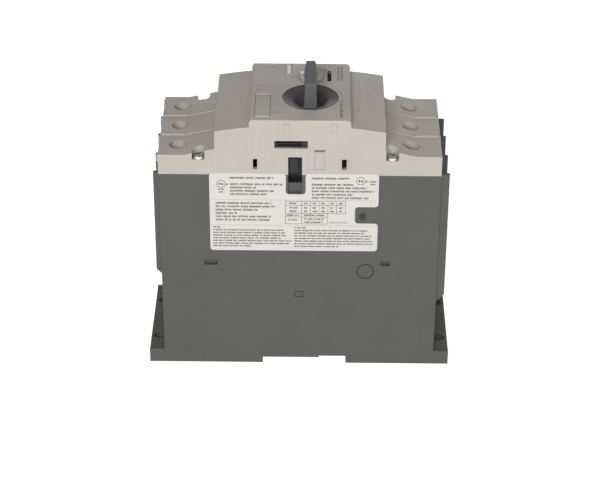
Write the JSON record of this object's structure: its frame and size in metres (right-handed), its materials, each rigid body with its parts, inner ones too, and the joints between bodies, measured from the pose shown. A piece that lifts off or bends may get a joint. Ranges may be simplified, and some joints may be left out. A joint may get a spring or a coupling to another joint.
{
  "type": "manual motor starter",
  "caption": "Three-pole manual motor starter with a rotary handle, stepped cover, box clamp terminals, side label and flanged rail-mount base.",
  "frame": {"origin": "centre of the footprint, on the face that lies against the mounting panel", "axes": "+Z away from the mounting panel, +X to the line side (up on a wall), +Y across the poles"},
  "size_m": [0.14, 0.055, 0.1415],
  "materials": {
    "dark_plastic": "fine moulded texture, satin",
    "base_plastic": "fine moulded texture, satin",
    "cover_plastic": "fine moulded texture, satin",
    "handle_plastic": "satin moulded",
    "tab_plastic": "satin moulded",
    "black_plastic": "satin moulded",
    "cream_plastic": "matte moulded",
    "label_film": "semi-gloss printed film",
    "zinc_steel": "bright zinc plate",
    "plain_steel": "stamped, satin",
    "spring_steel": "drawn wire",
    "copper": "rolled copper, dull",
    "silver_alloy": "dull silver alloy",
    "bimetal": "rolled strip"
  },
  "bodies": {
    "root": {"base_housing": "base_plastic", "mid_housing": "dark_plastic", "front_cover": "cover_plastic", "cover_screws": "zinc_steel", "housing_screws": "zinc_steel", "rating_label": "label_film", "marker_plate": "cover_plastic", "aux_socket": "black_plastic", "slider_guide": "black_plastic", "mechanism_frame": "plain_steel", "mechanism_pins": "plain_steel", "line_busbar_1": "copper", "line_busbar_2": "copper", "line_busbar_3": "copper", "load_busbar_1": "copper", "load_busbar_2": "copper", "load_busbar_3": "copper", "fixed_contact_tips": "silver_alloy", "arc_chutes": "plain_steel", "trip_coils": "copper", "coil_bobbins": "cream_plastic", "coil_yokes": "plain_steel", "bimetal_strips": "bimetal", "heater_windings": "spring_steel", "plunger_springs": "spring_steel", "main_spring": "spring_steel", "din_clip_spring": "spring_steel"},
    "handle": {"handle": "handle_plastic", "handle_shaft": "plain_steel", "drive_cam": "black_plastic"},
    "lock_tab": {"lock_tab": "tab_plastic"},
    "setting_dial": {"setting_dial": "cover_plastic"},
    "test_slider": {"test_slider": "black_plastic"},
    "release_slider": {"release_slider": "black_plastic"},
    "din_clip": {"din_clip": "black_plastic"},
    "trip_bar": {"trip_bar": "cream_plastic"},
    "trip_slide_bar": {"trip_slide_bar": "cream_plastic"},
    "latch_lever": {"latch_lever": "plain_steel"},
    "toggle_lever": {"toggle_lever": "plain_steel"},
    "contact_carrier": {"contact_carrier": "cream_plastic", "moving_contacts": "copper", "moving_contact_tips": "silver_alloy", "contact_springs": "spring_steel"},
    "trip_plunger_1": {"trip_plunger_1": "plain_steel"},
    "trip_plunger_2": {"trip_plunger_2": "plain_steel"},
    "trip_plunger_3": {"trip_plunger_3": "plain_steel"},
    "line_clamp_screw_1": {"line_clamp_screw_1": "zinc_steel"},
    "line_clamp_cage_1": {"line_clamp_cage_1": "zinc_steel"},
    "line_clamp_screw_2": {"line_clamp_screw_2": "zinc_steel"},
    "line_clamp_cage_2": {"line_clamp_cage_2": "zinc_steel"},
    "line_clamp_screw_3": {"line_clamp_screw_3": "zinc_steel"},
    "line_clamp_cage_3": {"line_clamp_cage_3": "zinc_steel"},
    "load_clamp_screw_1": {"load_clamp_screw_1": "zinc_steel"},
    "load_clamp_cage_1": {"load_clamp_cage_1": "zinc_steel"},
    "load_clamp_screw_2": {"load_clamp_screw_2": "zinc_steel"},
    "load_clamp_cage_2": {"load_clamp_cage_2": "zinc_steel"},
    "load_clamp_screw_3": {"load_clamp_screw_3": "zinc_steel"},
    "load_clamp_cage_3": {"load_clamp_cage_3": "zinc_steel"}
  },
  "joints": [
    {"name": "handle_turn", "type": "hinge", "parent": "root", "child": "handle", "pos_m": [0.0045, -0.0053, 0.125], "axis": [0, 0, 1], "range_deg": [-90.02, 0], "deforming": ["main_spring"]},
    {"name": "lock_tab_slide", "type": "slide", "parent": "handle", "child": "lock_tab", "axis": [0, -1, 0], "range_m": [0, 0.007]},
    {"name": "setting_dial_turn", "type": "hinge", "parent": "root", "child": "setting_dial", "pos_m": [0.0045, 0.0155, 0.12], "axis": [0, 0, -1], "range_deg": [0, 240]},
    {"name": "test_slide", "type": "slide", "parent": "root", "child": "test_slider", "axis": [0, -1, 0], "range_m": [0, 0.0055], "stiffness_N_per_m": 200},
    {"name": "release_slide", "type": "slide", "parent": "root", "child": "release_slider", "axis": [0, 0, -1], "range_m": [0, 0.005]},
    {"name": "din_clip_slide", "type": "slide", "parent": "root", "child": "din_clip", "axis": [-1, 0, 0], "range_m": [0, 0.004], "stiffness_N_per_m": 1500, "deforming": ["din_clip_spring"]},
    {"name": "trip_plunger_1_slide", "type": "slide", "parent": "root", "child": "trip_plunger_1", "axis": [0, 0, 1], "range_m": [0, 0.003], "stiffness_N_per_m": 150},
    {"name": "trip_plunger_2_slide", "type": "slide", "parent": "root", "child": "trip_plunger_2", "axis": [0, 0, 1], "range_m": [0, 0.003], "stiffness_N_per_m": 150},
    {"name": "trip_plunger_3_slide", "type": "slide", "parent": "root", "child": "trip_plunger_3", "axis": [0, 0, 1], "range_m": [0, 0.003], "stiffness_N_per_m": 150},
    {"name": "trip_slide_bar_slide", "type": "slide", "parent": "root", "child": "trip_slide_bar", "axis": [1, 0, 0], "range_m": [0, 0.0015], "stiffness_N_per_m": 150},
    {"name": "trip_bar_turn", "type": "hinge", "parent": "root", "child": "trip_bar", "pos_m": [-0.028, 0, 0.08], "axis": [0, -1, 0], "range_deg": [0, 12.01]},
    {"name": "latch_lever_turn", "type": "hinge", "parent": "root", "child": "latch_lever", "pos_m": [-0.009, -0.012, 0.09], "axis": [0, 1, 0], "range_deg": [0, 10.01]},
    {"name": "toggle_lever_turn", "type": "hinge", "parent": "root", "child": "toggle_lever", "pos_m": [-0.008, -0.0053, 0.084], "axis": [0, -1, 0], "range_deg": [0, 13.51]},
    {"name": "contact_carrier_slide", "type": "slide", "parent": "root", "child": "contact_carrier", "axis": [0, 0, 1], "range_m": [0, 0.0042]},
    {"name": "line_clamp_screw_1_turn", "type": "hinge", "parent": "root", "child": "line_clamp_screw_1", "pos_m": [0.0496, -0.018, 0.1], "axis": [0, 0, -1], "range_deg": [0, 1800.1]},
    {"name": "line_clamp_cage_1_slide", "type": "slide", "parent": "root", "child": "line_clamp_cage_1", "axis": [0, 0, 1], "range_m": [0, 0.005]},
    {"name": "line_clamp_screw_2_turn", "type": "hinge", "parent": "root", "child": "line_clamp_screw_2", "pos_m": [0.0496, 0, 0.1], "axis": [0, 0, -1], "range_deg": [0, 1800.1]},
    {"name": "line_clamp_cage_2_slide", "type": "slide", "parent": "root", "child": "line_clamp_cage_2", "axis": [0, 0, 1], "range_m": [0, 0.005]},
    {"name": "line_clamp_screw_3_turn", "type": "hinge", "parent": "root", "child": "line_clamp_screw_3", "pos_m": [0.0496, 0.018, 0.1], "axis": [0, 0, -1], "range_deg": [0, 1800.1]},
    {"name": "line_clamp_cage_3_slide", "type": "slide", "parent": "root", "child": "line_clamp_cage_3", "axis": [0, 0, 1], "range_m": [0, 0.005]},
    {"name": "load_clamp_screw_1_turn", "type": "hinge", "parent": "root", "child": "load_clamp_screw_1", "pos_m": [-0.0544, -0.018, 0.1], "axis": [0, 0, -1], "range_deg": [0, 1800.1]},
    {"name": "load_clamp_cage_1_slide", "type": "slide", "parent": "root", "child": "load_clamp_cage_1", "axis": [0, 0, 1], "range_m": [0, 0.005]},
    {"name": "load_clamp_screw_2_turn", "type": "hinge", "parent": "root", "child": "load_clamp_screw_2", "pos_m": [-0.0544, 0, 0.1], "axis": [0, 0, -1], "range_deg": [0, 1800.1]},
    {"name": "load_clamp_cage_2_slide", "type": "slide", "parent": "root", "child": "load_clamp_cage_2", "axis": [0, 0, 1], "range_m": [0, 0.005]},
    {"name": "load_clamp_screw_3_turn", "type": "hinge", "parent": "root", "child": "load_clamp_screw_3", "pos_m": [-0.0544, 0.018, 0.1], "axis": [0, 0, -1], "range_deg": [0, 1800.1]},
    {"name": "load_clamp_cage_3_slide", "type": "slide", "parent": "root", "child": "load_clamp_cage_3", "axis": [0, 0, 1], "range_m": [0, 0.005]}
  ],
  "couplings": [
    {"joint": "trip_bar_turn", "follows": "trip_slide_bar_slide", "rad_per_m": 139.6},
    {"joint": "latch_lever_turn", "follows": "trip_slide_bar_slide", "rad_per_m": 116.3},
    {"joint": "toggle_lever_turn", "follows": "contact_carrier_slide", "rad_per_m": 56.1},
    {"joint": "handle_turn", "follows": "contact_carrier_slide", "rad_per_m": -374},
    {"joint": "line_clamp_screw_1_turn", "follows": "line_clamp_cage_1_slide", "rad_per_m": 6283.2},
    {"joint": "line_clamp_screw_2_turn", "follows": "line_clamp_cage_2_slide", "rad_per_m": 6283.2},
    {"joint": "line_clamp_screw_3_turn", "follows": "line_clamp_cage_3_slide", "rad_per_m": 6283.2},
    {"joint": "load_clamp_screw_1_turn", "follows": "load_clamp_cage_1_slide", "rad_per_m": 6283.2},
    {"joint": "load_clamp_screw_2_turn", "follows": "load_clamp_cage_2_slide", "rad_per_m": 6283.2},
    {"joint": "load_clamp_screw_3_turn", "follows": "load_clamp_cage_3_slide", "rad_per_m": 6283.2}
  ]
}
